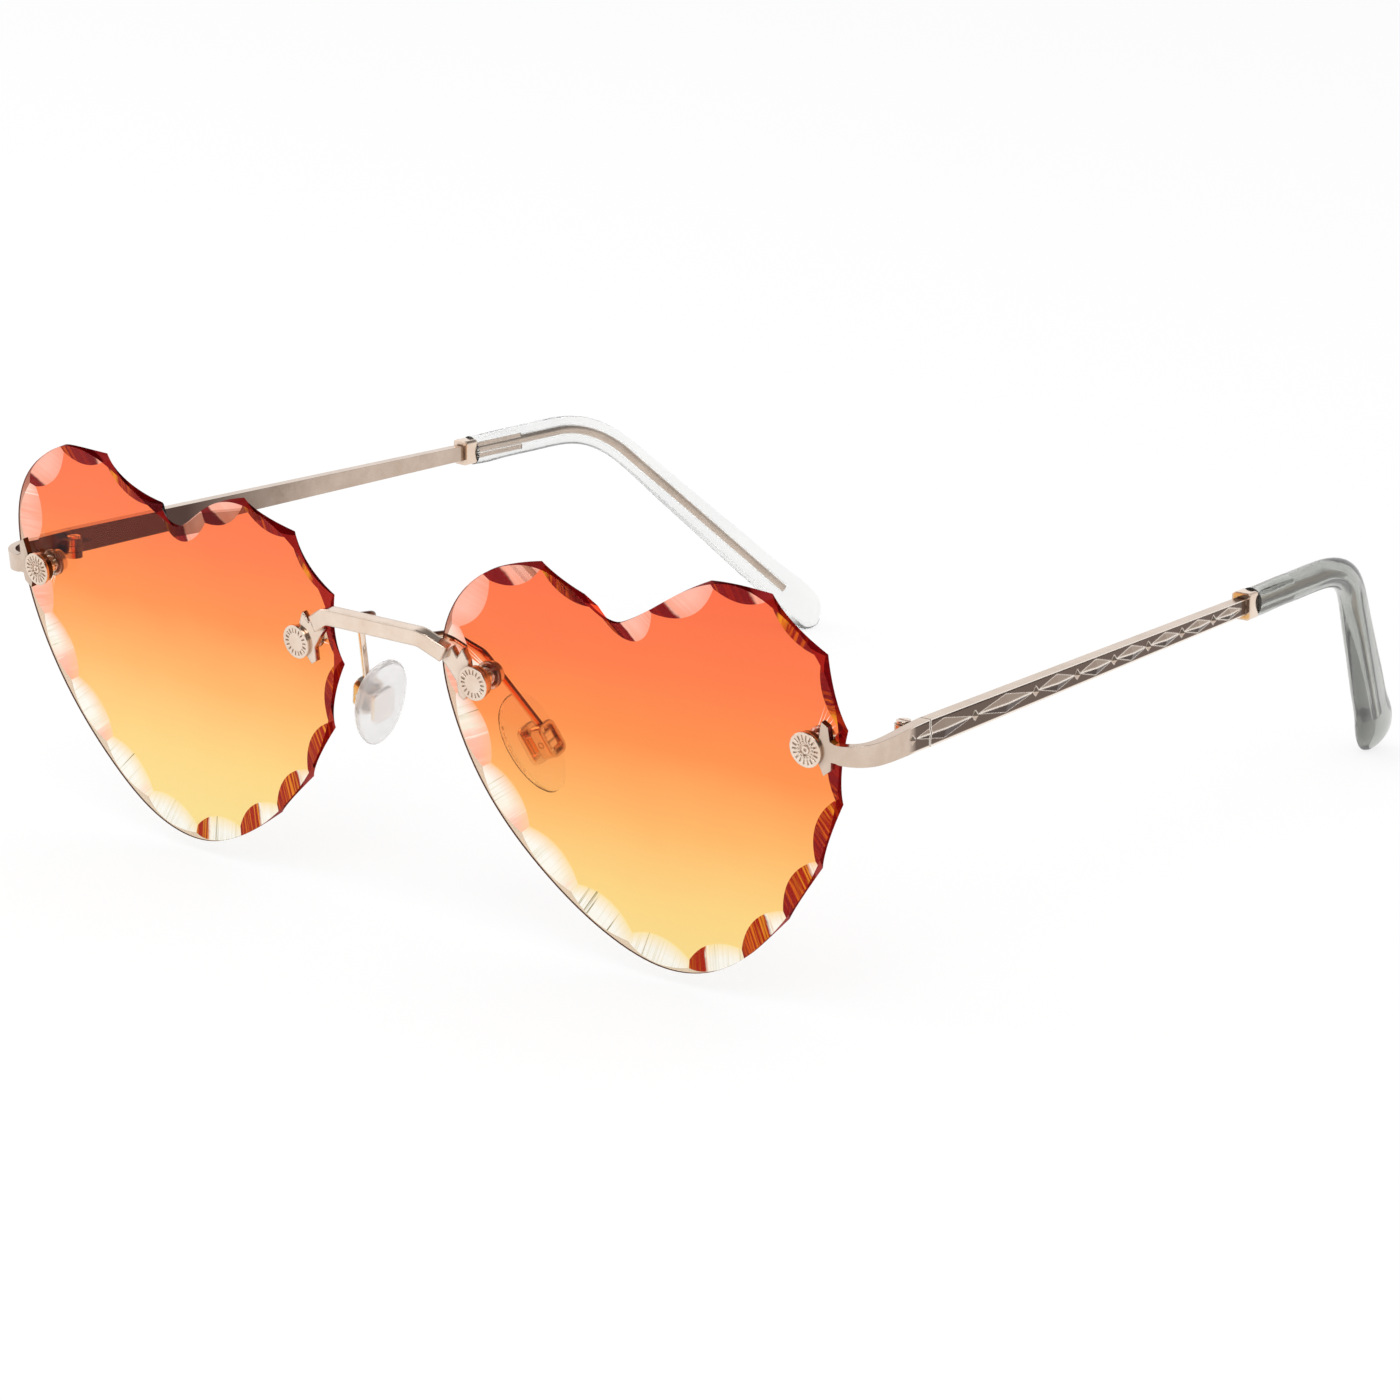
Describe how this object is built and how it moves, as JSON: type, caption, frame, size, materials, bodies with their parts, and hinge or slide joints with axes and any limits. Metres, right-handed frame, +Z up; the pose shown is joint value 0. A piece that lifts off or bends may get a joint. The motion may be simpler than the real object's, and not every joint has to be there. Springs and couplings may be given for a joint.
{
  "type": "rimless sunglasses",
  "caption": "Rimless heart-shaped sunglasses with graded tinted lenses cut with scallops at the edge, slim metal bridge, folding patterned temples and clear temple tips.",
  "frame": {"origin": "on the mid-plane between the lenses, level with the outer lens holes on the lens front face", "axes": "+Z up, +X to the wearer's left, -Y to the front, temples open and pointing along +Y"},
  "size_m": [0.141, 0.1455, 0.0512],
  "materials": {
    "tinted_lens": "polished, tint graded from orange to pale yellow",
    "pale_gold": "polished pale rose gold plating",
    "clear_tip": "clear, slightly grey-green",
    "clear_pad": "clear moulded plastic, slightly milky",
    "clear_sleeve": "clear moulded plastic"
  },
  "bodies": {
    "front": {"bridge": "pale_gold", "endpiece_left": "pale_gold", "endpiece_right": "pale_gold", "hinge_screw_left": "pale_gold", "hinge_screw_right": "pale_gold", "pad_arm_left": "pale_gold", "pad_arm_right": "pale_gold", "pad_box_left": "pale_gold", "pad_box_right": "pale_gold", "pad_screw_left": "pale_gold", "pad_screw_right": "pale_gold", "endpiece_screw_left": "pale_gold", "endpiece_screw_right": "pale_gold", "endpiece_nut_left": "pale_gold", "endpiece_nut_right": "pale_gold", "bridge_screw_left": "pale_gold", "bridge_screw_right": "pale_gold", "bridge_nut_left": "pale_gold", "bridge_nut_right": "pale_gold", "endpiece_bushing_left": "clear_sleeve", "endpiece_bushing_right": "clear_sleeve", "bridge_bushing_left": "clear_sleeve", "bridge_bushing_right": "clear_sleeve", "endpiece_washer_left": "clear_sleeve", "endpiece_washer_right": "clear_sleeve", "bridge_washer_left": "clear_sleeve", "bridge_washer_right": "clear_sleeve", "lens_left": "tinted_lens", "lens_right": "tinted_lens"},
    "temple_left": {"temple_bar_left": "pale_gold", "temple_collar_left": "pale_gold", "temple_tip_left": "clear_tip"},
    "temple_right": {"temple_bar_right": "pale_gold", "temple_collar_right": "pale_gold", "temple_tip_right": "clear_tip"},
    "nose_pad_left": {"pad_core_left": "pale_gold", "nose_pad_left": "clear_pad"},
    "nose_pad_right": {"pad_core_right": "pale_gold", "nose_pad_right": "clear_pad"}
  },
  "joints": [
    {"name": "temple_fold_left", "type": "hinge", "parent": "front", "child": "temple_left", "pos_m": [0.067, 0.0105, -0.00005], "axis": [0, 0, 1], "range_deg": [0, 83]},
    {"name": "temple_fold_right", "type": "hinge", "parent": "front", "child": "temple_right", "pos_m": [-0.067, 0.0105, -0.00005], "axis": [0, 0, -1], "range_deg": [0, 70]},
    {"name": "nose_pad_rock_left", "type": "hinge", "parent": "front", "child": "nose_pad_left", "pos_m": [0.0152, 0.0096, -0.01], "axis": [-0.1095, 0.9541, 0.2786], "range_deg": [-6, 6]},
    {"name": "nose_pad_rock_right", "type": "hinge", "parent": "front", "child": "nose_pad_right", "pos_m": [-0.0152, 0.0096, -0.01], "axis": [0.1095, 0.9541, 0.2786], "range_deg": [-6, 6]}
  ]
}
